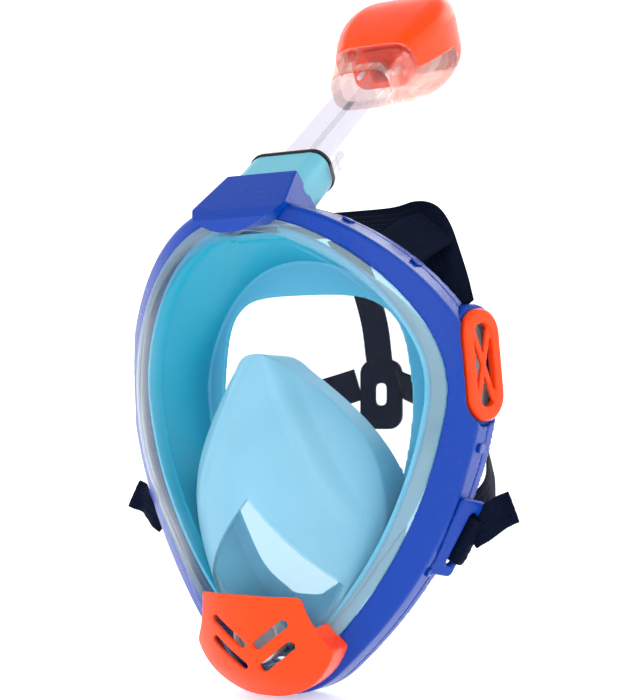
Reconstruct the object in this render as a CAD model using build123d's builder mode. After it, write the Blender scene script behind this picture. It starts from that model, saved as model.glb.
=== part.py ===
from build123d import *
import os
from math import atan2, cos, degrees, radians, sin, sqrt

# Full-face snorkel mask.  Millimetres, +Z up, the mask looks along -Y, X = 0 is its plane of symmetry.
# The origin lies in the middle of the face seal, where the wearer's face meets the mask.

os.makedirs("parts", exist_ok=True)

# ---------------------------------------------------------------- driving dimensions
# Visor outline (the inner edge of the frame): tangent arcs from the top of the centre line down one side,
# as (radius, direction of the outward normal at the arc's end).  A last arc closes on the centre line.
OUTLINE_TOP = 94.0
OUTLINE_ARCS = [(83, 64), (106, 28), (65, -10), (232, -46)]
AHEAD = 130.0                 # depth ahead of the origin at which the outline prisms end
BEHIND = 80.0                 # and depth behind it

# Bowed surfaces: (height, depth on the centre line, half-width where the bow reaches its back plane).
BOW_BACK = 60.0
FRAME_FRONT = [(130, -72.5, 152), (60, -72.5, 152), (10, -72.5, 152), (-40, -65, 143), (-85, -50.5, 128),
               (-118, -38, 116), (-150, -25.5, 106), (-175, -14, 98)]
FRAME_BACK = [(130, -42, 146), (60, -42, 146), (10, -42, 146), (-40, -34, 136), (-85, -22, 126),
              (-118, -12, 119), (-150, -3, 112), (-175, 4, 106)]
SEAL = [(130, 4, 104), (60, 0, 108), (0, 0, 108), (-60, 2, 104), (-120, 10, 92), (-175, 18, 80)]

FLANGE = 8.5                  # width of the frame's front flange
FLARE = 6.5                   # how much further out the frame's rear edge stands
FLARE_FRONT_Y = -75.0         # the frame's side wall is drafted between these two depths
FLARE_BACK_Y = 5.0
EDGE_ROUND = 4.0              # rounding of the frame's front outer edge
REAR_RING = 7.0               # depth of the rear clamping ring
GAP = 0.2                     # clearance between neighbouring pieces

# Visor dome: (height, depth of the front on the centre line, half-width at DOME_BACK).
DOME_BACK = -10.0
DOME = [(112, -72, 92), (85, -83, 96), (55, -90, 99), (20, -94, 101.5), (-15, -92.5, 99), (-50, -83, 88),
        (-85, -68.5, 72), (-118, -58.5, 68), (-135, -50, 62), (-152, -34, 50)]
DOME_INSET = 7.0              # the dome stands inside the visor's flat rim
VISOR_WALL = 2.5
RIM_PROUD = 1.0               # the rim stands this much in front of the frame's flange
RIM_THICK = 5.0               # how far the rim reaches back between frame and skirt
DOME_ROUND = 3.5              # rounding of the dome's edge
CHIN_PORT_Y = -42.0           # drain port in the dome's chin, behind the chin cover
CHIN_PORT_Z = -116.0
CHIN_PORT_R = 13.0
CHIN_BACK = -27.0             # rear edge of the chin cover
CHIN_COVER_WALL = 2.8
CHIN_TOP = -92.5              # outline of the chin cover, right-hand half
CHIN_SHOULDER = (27.5, -93.5)
CHIN_FLANK = (31.5, -108.5)
CHIN_CORNER = (39, -121)
CHIN_JAW = (26, -139.5)
CHIN_BOTTOM = -147.0
CHIN_SLOTS = [((20.5, -105.4), (2.5, -119.3)), ((22.5, -116.5), (4, -131))]
CHIN_SLOT_WIDTH = 4.6

# Breathing cup over nose and mouth, same form of table as the dome.
CUP_BACK = 20.0
CUP = [(34, -50, 36), (22, -55, 44), (-5, -61, 62), (-40, -64, 76), (-75, -60, 72), (-105, -52, 60), (-128, -40, 46)]
CUP_OUTLINE = [(0, 27), (14, 21), (50, -22), (56, -45), (48, -84), (26, -116), (0, -124)]
CUP_WALL = 2.2
# The cup's rear edge steps down from the bridge of the nose to the cheeks, drawn in side view (depth, height).
CUP_BRIDGE = [(-22, 18), (10, -32), (60, -40), (60, 60), (-22, 60)]

SKIRT_WALL = 3.0
SKIRT_OPENING = [(0, 61), (22, 60.5), (38, 57.5), (49, 49), (56, 28), (58, 0), (55, -28), (47, -55), (36, -75),
                 (24, -91), (11, -100), (0, -102)]

# Snorkel: its own frame has X across, Y towards the front of the tube and Z along the tube.
TUBE_LEAN = 54.3              # degrees back from upright
TUBE_FOOT = (0, -13.5, 126.3) # centre of the joint between the mask and the tube
TUBE_BASE = (47.0, 24.0, 9.0) # width, thickness, corner radius
TUBE_TOP = (37.0, 22.0, 8.5)
TUBE_LENGTH = 124.0
TUBE_WALL = 2.0
SPIGOT = 24.0                 # length of the tube's end inside the connector
SNORKEL_FORWARD = (0, -cos(radians(TUBE_LEAN)), sin(radians(TUBE_LEAN)))
SNORKEL_ALONG = (0, sin(radians(TUBE_LEAN)), cos(radians(TUBE_LEAN)))
SNORKEL = Plane(origin=TUBE_FOOT, x_dir=(-1, 0, 0), z_dir=SNORKEL_ALONG)

SNORKEL_AXIS = Axis(TUBE_FOOT, SNORKEL_ALONG)
SOCKET_DEPTH = 36.0           # how far below the tube's foot the connector starts
SOCKET_LIP = (22.5, 94.5)      # the socket's lower edge laps the visor in an arc
SOCKET_LIP_BOTTOM = 85.0
SOCKET_HIP = (26, 100)
SOCKET_TOP = (19.5, 123.5)
SOCKET_SIDE = [(-84.5, 80), (-83, 92), (-76.5, 98), (-48.5, 120.8), (-30, 95), (-70, 94.6), (-70, 80)]
GASKET = 2.6
DIVIDER_OFFSET = 7.0
DIVIDER_THICKNESS = 1.2

# Dry top at the end of the snorkel: (distance along the tube, width, thickness, corner radius, forward shift).
HEAD = [(118, 39.6, 24.6, 9, 0), (146, 52, 40, 11, -2), (176, 68, 51, 13, -3), (206, 74, 51, 14, -2),
        (230, 60, 41, 12, 0), (241, 40, 27, 9, 1)]
HEAD_WALL = 2.2

# Reach of the cap in side view: (forward, along the tube).
CAP_REACH = [(40, 140), (-2, 152), (-7, 200), (-40, 214), (-40, 260), (40, 260)]

POD_CENTRE = (99.5, 0.0, 21.5)
POD_LEAN = 7.0                # degrees by which the oval's top leans forward
POD_TURN = 22.0               # degrees forward from straight sideways
POD_SIZE = (28.0, 58.0)       # width and height of the orange oval
POD_DEEP = 17.0               # how far the pod's housing reaches into the frame
POD_RIM = 2.5                 # blue rim round the orange grille
VALVE_FLOOR = -6.0            # floor of the pod's pocket, along the pod's normal

# Float valve in the dry top, along the tube.
SEAT_ALONG = 190.0
SEAT_SIZE = (58.0, 35.0)
SEAT_THICKNESS = 3.0
SEAT_CENTRE = (0, -2)
GUIDE_LENGTH = 44.0
GUIDE_OFFSET = 12.0
GUIDE_R = 1.5
FLOAT_ALONG = 154.0
FLOAT_SIZE = (38.0, 23.0, 26.0)
SEAL_THICKNESS = 3.0          # leaves the float 7 mm to rise
INTAKE_SLOTS = 5
INTAKE_PITCH = 8.0
INTAKE_LENGTH = 34.0
INTAKE_ALONG = 176.0

LUG_CENTRE = (84.5, 1.0, -66.0)
LUG_LEAN = 28.0
LUG_NORMAL = (0.80, -0.425, -0.425)
CLIPS = [62, 44, -14, -30]    # directions of the outline's normal where clips join the frame's halves

SKIRT_TAPER = 12.0            # how far the skirt's wall draws in by its rear edge
CHIN_VALVE_Y = -47.0
CHIN_TUNNEL = (7.0, 4.0)      # the drain valve's tube reaches this far forward and back of its seat

# Head harness: each strap lies in a tilted plane and is drawn there as a line, then given thickness.
STRAP_THICKNESS = 2.6
CROWN_PLANE = Plane(origin=(0, 9, 52), x_dir=(1, 0, 0), z_dir=(0, -0.88, 0.475))
CROWN_LINE = [(58, 63), (40, 60), (20, 60), (0, 60)]
# From the crown's ends a flat wing runs down to each pod: drawn outwards and down the wing.
WING_PLANE = Plane(origin=(71, 24, 81), x_dir=(0.881, -0.142, 0.451), z_dir=(0.293, 0.911, -0.285))
WING = [(4.4, -40), (6.4, -18), (9.6, 0), (9.4, 20), (9.5, 36), (-6, 30), (-13, 18), (-14, 0), (-16, -16), (-17, -32)]
NAPE_PLANE = Plane(origin=(0, 8, -62), x_dir=(1, 0, 0), z_dir=(0, -0.6, 0.8))
NAPE_LINE = [(89, 6), (96, 20), (95, 36), (85, 63), (55, 101), (14, 127)]
LINK_LINE = [(51.5, 97.5), (78, 82), (101, 54), (109.5, 31)]
CROWN_WIDTH = 27.0
NAPE_WIDTH = 24.0
LINK_WIDTH = 18.0
BACK_PAD = (0, 111.3, 8.0)
TAIL_DEPTH = 10.0             # the strap's loose end, drawn across and up
TAIL = [(101.4, -45.2), (105, -43.6), (118, -50.3), (117.6, -52.8), (108.3, -60.9), (98.7, -69.6),
        (92.3, -67.8), (96.6, -55.7)]

SIDES = (1, -1)

FACE = Plane.XZ               # looking at the mask: local x across, local y up, normal forward


def at_depth(y):
    """Upright plane at the given depth, facing forward."""
    return FACE.offset(-y)


# ---------------------------------------------------------------- shared shapes
def outline_arcs():
    """The arcs of the visor's right-hand outline: (centre across, centre up, radius, start and end direction)."""
    arcs = []
    across, up, radius, start = 0.0, OUTLINE_TOP - OUTLINE_ARCS[0][0], OUTLINE_ARCS[0][0], 90.0
    for index, (_, end) in enumerate(OUTLINE_ARCS):
        arcs.append((across, up, radius, start, end))
        if index + 1 < len(OUTLINE_ARCS):
            following = OUTLINE_ARCS[index + 1][0]
        else:
            following = radius + across / cos(radians(end))
        across += (radius - following) * cos(radians(end))
        up += (radius - following) * sin(radians(end))
        radius, start = following, end
    arcs.append((0.0, up, radius, start, -90.0))
    return arcs


def egg(plane, grow=0.0):
    """The visor's outline, moved outward by grow."""
    with BuildSketch(plane) as outline:
        with BuildLine():
            for across, up, radius, start, end in outline_arcs():
                CenterArc((across, up), radius + grow, start, end - start)
            mirror(about=Plane.YZ)
        make_face()
    return outline.sketch.face()


def outline_point(turn, grow=0.0):
    """Point of the outline, moved outward by grow, where its outward normal has the given direction."""
    for across, up, radius, start, end in outline_arcs():
        if end <= turn <= start:
            reach = radius + grow
            return across + reach * cos(radians(turn)), up + reach * sin(radians(turn))
    raise ValueError("direction outside the outline")


def egg_prism(grow=0.0, front=-AHEAD, back=BEHIND, mode=Mode.ADD):
    extrude(egg(at_depth(back), grow), amount=back - front, mode=mode)


def flare_grow(y, front_grow, back_grow):
    """How far outside the visor's outline a drafted wall stands at a depth."""
    return front_grow + (back_grow - front_grow) * (y - FLARE_FRONT_Y) / (FLARE_BACK_Y - FLARE_FRONT_Y)


def egg_flare(front_grow, back_grow, mode=Mode.ADD):
    """Outline prism with drafted sides, carried on past both reference depths."""
    ends = [egg(at_depth(y), flare_grow(y, front_grow, back_grow)) for y in (-AHEAD, BEHIND)]
    loft(ends, ruled=True, mode=mode)


def bowed(rows, back, inset=0.0, reach=None, mode=Mode.ADD):
    """Solid with a front that bows forward in every level section; reach carries it on behind back."""
    levels = []
    for up, front, half in rows:
        nose = front + inset
        rear = back if reach is None else reach
        edge = (half - inset) * sqrt((rear - nose) / (back - nose))
        with BuildSketch(Plane.XY.offset(up)) as level:
            with BuildLine():
                bow = Bezier((-edge, rear), (0, 2 * nose - rear), (edge, rear))
                Line(bow @ 1, bow @ 0)
            make_face()
        levels.append(level.sketch.face())
    loft(levels, mode=mode)


def bow_depth(rows, back, across, up):
    """Depth of a bowed surface at a point across and up."""
    for (low, low_front, low_half), (high, high_front, high_half) in zip(rows[1:], rows):
        if low <= up <= high:
            share = (up - low) / (high - low)
            front = low_front + (high_front - low_front) * share
            half = low_half + (high_half - low_half) * share
            return front + (back - front) * (across / half) ** 2
    raise ValueError("height outside the surface")


def half_outline(points, plane, grow=0.0):
    """Closed symmetric outline through points that run from the top of the centre line to its bottom."""
    top, bottom = points[0], points[-1]
    middle = (top[1] + bottom[1]) / 2
    spread = [((x + grow) if x else 0, z + (grow if z > middle else -grow)) for x, z in points]
    with BuildSketch(plane) as outline:
        with BuildLine():
            Spline(*spread, tangents=[(1, 0), (-1, 0)])
            mirror(about=Plane.YZ)
        make_face()
    return outline.sketch.face()


def front_edges(builder):
    """The edges round the foremost face."""
    return builder.faces().sort_by(Axis.Y)[0].edges()


def save(part, name):
    part.label = name
    export_step(part, f"parts/{name}.step")


def main_body(part):
    """The largest solid of a piece, without the slivers that cutting leaves beside it."""
    return part.solids().sort_by(SortBy.VOLUME)[-1]


# ---------------------------------------------------------------- spaces cut out of the frame
# The connector's seat in the frame, and the air shaft from it down into the visor.
with BuildPart() as connector_space:
    with BuildSketch(SNORKEL.offset(-SOCKET_DEPTH)):
        RectangleRounded(TUBE_BASE[0] + 2 * GAP, TUBE_BASE[1] + 2 * GAP, TUBE_BASE[2])
    extrude(amount=60)

with BuildPart() as air_shaft:
    with BuildSketch(SNORKEL.offset(-75)):
        RectangleRounded(34, 14, 6)
    extrude(amount=60)

POD_NORMAL = (cos(radians(POD_TURN)), -sin(radians(POD_TURN)), 0)
POD_AXIS = Axis(POD_CENTRE, POD_NORMAL)
POD = Plane(origin=POD_CENTRE, x_dir=(sin(radians(POD_TURN)) * cos(radians(POD_LEAN)),
                                      cos(radians(POD_TURN)) * cos(radians(POD_LEAN)), sin(radians(POD_LEAN))),
            z_dir=POD_NORMAL)


def stadium(width, height, mode=Mode.ADD):
    """Upright slot outline."""
    RectangleRounded(width, height, width / 2 - 0.05, mode=mode)


with BuildPart() as pod_space:
    with BuildSketch(POD.offset(-POD_DEEP - GAP)):
        stadium(POD_SIZE[0] + 2 * (POD_RIM + GAP), POD_SIZE[1] + 2 * (POD_RIM + GAP))
    extrude(amount=60)
    mirror(about=Plane.YZ)

frame_spaces = [connector_space.part, air_shaft.part, pod_space.part]

# ---------------------------------------------------------------- frame
with BuildPart() as frame_front:
    egg_flare(FLANGE, FLANGE + FLARE)
    bowed(FRAME_FRONT, BOW_BACK, mode=Mode.INTERSECT)
    fillet(front_edges(frame_front), EDGE_ROUND)
    egg_prism(GAP, mode=Mode.SUBTRACT)
    bowed(FRAME_BACK, BOW_BACK, inset=-REAR_RING, mode=Mode.SUBTRACT)
    add(frame_spaces, mode=Mode.SUBTRACT)

with BuildPart() as frame_rear:
    egg_flare(FLANGE, FLANGE + FLARE)
    bowed(FRAME_BACK, BOW_BACK, inset=-REAR_RING + GAP, mode=Mode.INTERSECT)
    egg_prism(GAP, mode=Mode.SUBTRACT)
    bowed(FRAME_BACK, BOW_BACK, mode=Mode.SUBTRACT)
    add(frame_spaces, mode=Mode.SUBTRACT)

# ---------------------------------------------------------------- visor
with BuildPart() as dome:
    bowed(DOME, DOME_BACK)
    egg_prism(-DOME_INSET, mode=Mode.INTERSECT)
    fillet(front_edges(dome), DOME_ROUND)

with BuildPart() as dome_hollow:
    bowed(DOME, DOME_BACK, inset=VISOR_WALL, reach=DOME_BACK + 60)
    egg_prism(-DOME_INSET - VISOR_WALL, mode=Mode.INTERSECT)

with BuildPart() as visor:
    egg_prism(0)
    bowed(FRAME_FRONT, BOW_BACK, inset=-RIM_PROUD, mode=Mode.INTERSECT)
    bowed(FRAME_FRONT, BOW_BACK, inset=RIM_THICK, mode=Mode.SUBTRACT)
    add(dome.part)
    bowed(FRAME_FRONT, BOW_BACK, inset=RIM_THICK, mode=Mode.SUBTRACT)
    add(dome_hollow.part, mode=Mode.SUBTRACT)
    with BuildSketch(at_depth(CHIN_PORT_Y)):
        with Locations((0, CHIN_PORT_Z)):
            Circle(CHIN_PORT_R)
    extrude(amount=60, mode=Mode.SUBTRACT)

# ---------------------------------------------------------------- chin cover
def shield(plane, grow=0.0):
    """Outline of the chin cover: straight top, hollow flanks, round bottom."""
    with BuildSketch(plane) as outline:
        with BuildLine():
            Line((0, CHIN_TOP), CHIN_SHOULDER)
            ThreePointArc(CHIN_SHOULDER, CHIN_FLANK, CHIN_CORNER)
            ThreePointArc(CHIN_CORNER, CHIN_JAW, (0, CHIN_BOTTOM))
            mirror(about=Plane.YZ)
        make_face()
        fillet(outline.vertices().filter_by(lambda corner: abs(corner.X) > 1), 3.0)
        offset(amount=grow, mode=Mode.REPLACE)
    return outline.sketch.face()


with BuildPart() as chin_inside:
    extrude(shield(at_depth(CHIN_BACK), -CHIN_COVER_WALL), amount=90)
    bowed(DOME, DOME_BACK, inset=-GAP, mode=Mode.INTERSECT)

with BuildPart() as chin_cover:
    extrude(shield(at_depth(CHIN_BACK), 0.01), amount=90)
    bowed(DOME, DOME_BACK, inset=-CHIN_COVER_WALL - GAP, mode=Mode.INTERSECT)
    add([chin_inside.part, dome.part, visor.part, frame_front.part], mode=Mode.SUBTRACT)
    for side in SIDES:
        for (outer_x, outer_z), (inner_x, inner_z) in CHIN_SLOTS:
            run = Vector(outer_x - inner_x, outer_z - inner_z)
            with BuildSketch(at_depth(CHIN_BACK)):
                with Locations(Location(((outer_x + inner_x) / 2 * side, (outer_z + inner_z) / 2, 0),
                                        (0, 0, side * degrees(atan2(run.Y, run.X))))):
                    SlotOverall(run.length, CHIN_SLOT_WIDTH)
            extrude(amount=80, mode=Mode.SUBTRACT)

# ---------------------------------------------------------------- snorkel socket
with BuildPart() as socket_front:
    with BuildSketch(at_depth(20)):
        with BuildLine():
            lip = ThreePointArc((-SOCKET_LIP[0], SOCKET_LIP[1]), (0, SOCKET_LIP_BOTTOM), SOCKET_LIP)
            Polyline(lip @ 1, SOCKET_HIP, SOCKET_TOP, (-SOCKET_TOP[0], SOCKET_TOP[1]),
                     (-SOCKET_HIP[0], SOCKET_HIP[1]), lip @ 0)
        make_face()
    extrude(amount=120)

with BuildPart() as snorkel_socket:
    with BuildSketch(Plane.YZ):
        with BuildLine():
            Polyline(*SOCKET_SIDE, close=True)
        make_face()
    extrude(amount=60, both=True)
    add(socket_front.part, mode=Mode.INTERSECT)
    fillet(snorkel_socket.edges().filter_by(lambda edge: edge.length > 8 and edge.center().Z > 98), 1.5)
    with BuildSketch(SNORKEL.offset(-SOCKET_DEPTH)):
        RectangleRounded(TUBE_BASE[0] + 0.4, TUBE_BASE[1] + 0.4, TUBE_BASE[2])
    extrude(amount=60, mode=Mode.SUBTRACT)
    add([air_shaft.part, frame_front.part, frame_rear.part, visor.part], mode=Mode.SUBTRACT)

with BuildPart() as socket_connector:
    with BuildSketch(SNORKEL.offset(-SOCKET_DEPTH)):
        RectangleRounded(*TUBE_BASE)
    extrude(amount=SOCKET_DEPTH - GASKET / 2)
    with BuildSketch(SNORKEL.offset(-SPIGOT - 0.5)):
        RectangleRounded(TUBE_BASE[0] - 4.4, TUBE_BASE[1] - 4.4, TUBE_BASE[2] - 2.2)
    extrude(amount=SPIGOT + 2, mode=Mode.SUBTRACT)
    with BuildSketch(SNORKEL.offset(-SOCKET_DEPTH)):
        with GridLocations(12, 0, 3, 1):
            RectangleRounded(10, 13, 4)
    extrude(amount=20, mode=Mode.SUBTRACT)

with BuildPart() as socket_gasket:
    with BuildSketch(SNORKEL.offset(-GASKET / 2)):
        RectangleRounded(TUBE_BASE[0] + 1.4, TUBE_BASE[1] + 1.4, TUBE_BASE[2] + 0.7)
        RectangleRounded(TUBE_BASE[0] - 4.4, TUBE_BASE[1] - 4.4, TUBE_BASE[2] - 2.2, mode=Mode.SUBTRACT)
    extrude(amount=GASKET)


# ---------------------------------------------------------------- snorkel tube
def section(along, width, thickness, corner, forward=0.0):
    """Rounded-rectangle section of the snorkel at a distance along it."""
    with BuildSketch(SNORKEL.offset(along)) as outline:
        with Locations((0, forward)):
            RectangleRounded(width, thickness, corner)
    return outline.sketch.face()


def tube_bore(along, wall):
    """Section of the tube's bore, its width and thickness between those of the tube's two ends."""
    share = along / TUBE_LENGTH
    width, thickness, corner = [foot + (top - foot) * share for foot, top in zip(TUBE_BASE, TUBE_TOP)]
    return section(along, width - 2 * wall, thickness - 2 * wall, corner - wall)


TUBE_START = GASKET / 2 + 0.3
with BuildPart() as snorkel_tube:
    loft([tube_bore(TUBE_START, 0), tube_bore(TUBE_LENGTH, 0)])
    with BuildSketch(SNORKEL.offset(-SPIGOT)):
        RectangleRounded(TUBE_BASE[0] - 5, TUBE_BASE[1] - 5, TUBE_BASE[2] - 2.5)
    extrude(amount=SPIGOT + TUBE_START)
    loft([tube_bore(-SPIGOT - 1, TUBE_WALL + 2.5), tube_bore(TUBE_LENGTH + 1, TUBE_WALL)], mode=Mode.SUBTRACT)

with BuildPart() as tube_divider:
    for side in SIDES:
        with BuildSketch(SNORKEL.offset(-SPIGOT + 2)):
            with Locations((DIVIDER_OFFSET * side, 0)):
                Rectangle(DIVIDER_THICKNESS, TUBE_TOP[1] - 2 * TUBE_WALL - 3.4)
        extrude(amount=TUBE_LENGTH + SPIGOT - 6)

# ---------------------------------------------------------------- dry top
HEAD_OUTER = [section(along, w, t, r, shift) for along, w, t, r, shift in HEAD]
HEAD_INNER = [section(along + (HEAD_WALL if along < HEAD[2][0] else -HEAD_WALL), w - 2 * HEAD_WALL,
                      t - 2 * HEAD_WALL, r - HEAD_WALL, shift) for along, w, t, r, shift in HEAD]

with BuildPart() as head_shell:
    loft(HEAD_OUTER)
    loft(HEAD_INNER, mode=Mode.SUBTRACT)
    with BuildSketch(SNORKEL.offset(TUBE_LENGTH - 10)):
        RectangleRounded(TUBE_TOP[0] + 4 * GAP, TUBE_TOP[1] + 4 * GAP, TUBE_TOP[2] + GAP)
    extrude(amount=16, mode=Mode.SUBTRACT)

# The cap covers the front of the head and its whole top; its rear edge runs along the head's sides.
with BuildPart() as cap_reach:
    with BuildSketch(Plane(origin=TUBE_FOOT, x_dir=SNORKEL_FORWARD, z_dir=(-1, 0, 0))):
        with BuildLine():
            Polyline(*CAP_REACH, close=True)
        make_face()
    extrude(amount=60, both=True)

# Water and air enter through slots in the rear of the housing.
with BuildPart() as intake_slots:
    with BuildSketch(Plane(origin=TUBE_FOOT, x_dir=(-1, 0, 0), z_dir=[-part for part in SNORKEL_FORWARD])):
        with Locations((0, INTAKE_ALONG)):
            with GridLocations(INTAKE_PITCH, 0, INTAKE_SLOTS, 1):
                SlotOverall(INTAKE_LENGTH, 3.4, rotation=90)
    extrude(amount=40)

with BuildPart() as dry_top_cap:
    add(head_shell.part)
    add(cap_reach.part, mode=Mode.INTERSECT)

with BuildPart() as dry_top_housing:
    add(head_shell.part)
    add([cap_reach.part, intake_slots.part], mode=Mode.SUBTRACT)

# ---------------------------------------------------------------- float valve inside the dry top
GUIDES = [(SEAT_CENTRE[0] + side * GUIDE_OFFSET, SEAT_CENTRE[1]) for side in SIDES]

with BuildPart() as dry_top_seat:
    with BuildSketch(SNORKEL.offset(SEAT_ALONG)):
        with Locations(SEAT_CENTRE):
            RectangleRounded(*SEAT_SIZE, 13)
            SlotOverall(28, 11, mode=Mode.SUBTRACT)
    extrude(amount=SEAT_THICKNESS)

with BuildPart() as float_guides:
    with BuildSketch(SNORKEL.offset(SEAT_ALONG - GUIDE_LENGTH)):
        with Locations(*GUIDES):
            Circle(GUIDE_R)
    extrude(amount=GUIDE_LENGTH)

with BuildPart() as dry_top_float:
    with BuildSketch(SNORKEL.offset(FLOAT_ALONG)):
        with Locations(SEAT_CENTRE):
            RectangleRounded(FLOAT_SIZE[0], FLOAT_SIZE[1], 8)
    extrude(amount=FLOAT_SIZE[2])
    with BuildSketch(SNORKEL.offset(FLOAT_ALONG)):
        with Locations(SEAT_CENTRE):
            RectangleRounded(15, 15, 4)
    extrude(amount=FLOAT_SIZE[2] - 3, mode=Mode.SUBTRACT)
    with BuildSketch(SNORKEL.offset(FLOAT_ALONG)):
        with Locations(*GUIDES):
            Circle(GUIDE_R + 0.4)
    extrude(amount=FLOAT_SIZE[2], mode=Mode.SUBTRACT)

with BuildPart() as float_seal:
    with BuildSketch(SNORKEL.offset(FLOAT_ALONG + FLOAT_SIZE[2])):
        with Locations(SEAT_CENTRE):
            SlotOverall(36, 15)
        with Locations(*GUIDES):
            Circle(GUIDE_R + 0.4, mode=Mode.SUBTRACT)
    extrude(amount=SEAL_THICKNESS)

with BuildPart() as release_tabs:
    for side in SIDES:
        with BuildSketch(SNORKEL.offset(-8)):
            with Locations((side * (TUBE_BASE[0] / 2 + 1.9), 0)):
                RectangleRounded(1.8, 9, 0.8)
        extrude(amount=22)
        with BuildSketch(SNORKEL.offset(9)):
            with Locations((side * (TUBE_BASE[0] / 2 + 0.4), 0)):
                RectangleRounded(2.4, 9, 0.8)
        extrude(amount=5)
    add(snorkel_tube.part, mode=Mode.SUBTRACT)

# ---------------------------------------------------------------- side exhaust pods
with BuildPart() as pod_housing:
    with BuildSketch(POD.offset(-POD_DEEP)):
        stadium(POD_SIZE[0] + 2 * POD_RIM, POD_SIZE[1] + 2 * POD_RIM)
    extrude(amount=POD_DEEP + 1)
    fillet(pod_housing.faces().sort_by(POD_AXIS)[-1].edges(), 1.5)
    with BuildSketch(POD.offset(VALVE_FLOOR)):
        stadium(POD_SIZE[0] - 3, POD_SIZE[1] - 3)
    extrude(amount=10, mode=Mode.SUBTRACT)
    with BuildSketch(POD.offset(-POD_DEEP - 1)):
        stadium(13, 40)
    extrude(amount=POD_DEEP, mode=Mode.SUBTRACT)
    egg_prism(GAP, mode=Mode.SUBTRACT)

with BuildPart() as exhaust_seat:
    with BuildSketch(POD.offset(VALVE_FLOOR + 0.1)):
        stadium(POD_SIZE[0] - 3.4, POD_SIZE[1] - 3.4)
        with Locations((0, 11), (0, 0), (0, -11)):
            RectangleRounded(10, 8, 2, mode=Mode.SUBTRACT)
    extrude(amount=2)

with BuildPart() as exhaust_flap:
    with BuildSketch(POD.offset(VALVE_FLOOR + 2.4)):
        stadium(18, 44)
    extrude(amount=1)

with BuildPart() as side_grille:
    with BuildSketch(POD.offset(1.2)):
        stadium(*POD_SIZE)
    extrude(amount=4.4)
    fillet(side_grille.faces().sort_by(POD_AXIS)[-1].edges(), 2.2)
    with BuildSketch(POD):
        stadium(14.5, 43)
    extrude(amount=20, mode=Mode.SUBTRACT)
    with BuildSketch(POD.offset(2.4)):
        for lean in SIDES:
            with Locations(Location((0, 0, 0), (0, 0, lean * 19))):
                Rectangle(3.4, 50)
        stadium(15.5, 44, mode=Mode.INTERSECT)
    extrude(amount=2.2)

# ---------------------------------------------------------------- lower strap lugs
LUG_AXIS = Axis(LUG_CENTRE, LUG_NORMAL)
LUG = Plane(origin=LUG_CENTRE, x_dir=(sin(radians(LUG_LEAN)), 0, cos(radians(LUG_LEAN))), z_dir=LUG_NORMAL)

with BuildPart() as strap_lug:
    with BuildSketch(LUG):
        with Locations((0, -1)):
            RectangleRounded(44, 20, 3)
        with Locations((0, -5)):
            RectangleRounded(31, 5.5, 2, mode=Mode.SUBTRACT)
    extrude(amount=4)
    fillet(strap_lug.faces().sort_by(LUG_AXIS)[-1].outer_wire().edges(), 1.2)
    add(frame_front.part, mode=Mode.SUBTRACT)
    add(frame_rear.part, mode=Mode.SUBTRACT)
    egg_prism(GAP, mode=Mode.SUBTRACT)

# ---------------------------------------------------------------- frame clips
with BuildPart() as frame_clips:
    for turn in CLIPS:
        for side in SIDES:
            depth = bow_depth(FRAME_BACK, BOW_BACK, *outline_point(turn, FLANGE)) - REAR_RING
            across, up = outline_point(turn, flare_grow(depth, FLANGE, FLANGE + FLARE))
            lean = radians(turn)
            foot = (side * across, depth, up)
            with BuildSketch(Plane(origin=foot, x_dir=(0, 1, 0), z_dir=(side * cos(lean), 0, sin(lean)))):
                RectangleRounded(9, 5, 1.5)
            extrude(amount=1.2, both=True)
    add([frame_front.part, frame_rear.part, strap_lug.part], mode=Mode.SUBTRACT)
    add(mirror(strap_lug.part, about=Plane.YZ, mode=Mode.PRIVATE), mode=Mode.SUBTRACT)

# ---------------------------------------------------------------- silicone skirt
with BuildPart() as skirt_hollow:
    egg_flare(-SKIRT_WALL - 0.4, -SKIRT_WALL - SKIRT_TAPER)
    bowed(SEAL, BOW_BACK, inset=-SKIRT_WALL, mode=Mode.SUBTRACT)

with BuildPart() as face_skirt:
    egg_flare(-0.4, -SKIRT_TAPER)
    bowed(FRAME_FRONT, BOW_BACK, inset=RIM_THICK + GAP, mode=Mode.INTERSECT)
    bowed(SEAL, BOW_BACK, mode=Mode.SUBTRACT)
    add(skirt_hollow.part, mode=Mode.SUBTRACT)
    extrude(half_outline(SKIRT_OPENING, at_depth(BEHIND)), amount=BEHIND + AHEAD, mode=Mode.SUBTRACT)
    add(air_shaft.part, mode=Mode.SUBTRACT)


# ---------------------------------------------------------------- breathing cup and its drain valve
def cup_solid(inset):
    extrude(half_outline(CUP_OUTLINE, at_depth(BEHIND), grow=-inset), amount=BEHIND + AHEAD)
    bowed(CUP, CUP_BACK, inset=inset, reach=BOW_BACK - 1, mode=Mode.INTERSECT)


CHIN_VALVE = Plane(origin=(0, CHIN_VALVE_Y, CHIN_PORT_Z), x_dir=(1, 0, 0), z_dir=(0, -1, 0))

with BuildPart() as cup_hollow:
    cup_solid(CUP_WALL)

with BuildPart() as oronasal_cup:
    cup_solid(0)
    bowed(SEAL, BOW_BACK, inset=-SKIRT_WALL - 0.4, mode=Mode.SUBTRACT)
    add(cup_hollow.part, mode=Mode.SUBTRACT)
    with BuildSketch(Plane.YZ):
        with BuildLine():
            Polyline(*CUP_BRIDGE, close=True)
        make_face()
    extrude(amount=CUP_OUTLINE[3][0] + 10, both=True, mode=Mode.SUBTRACT)
    with BuildSketch(CHIN_VALVE.offset(-15)):
        Circle(CHIN_PORT_R)
    extrude(amount=22, mode=Mode.SUBTRACT)
    add([face_skirt.part, visor.part], mode=Mode.SUBTRACT)


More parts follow.
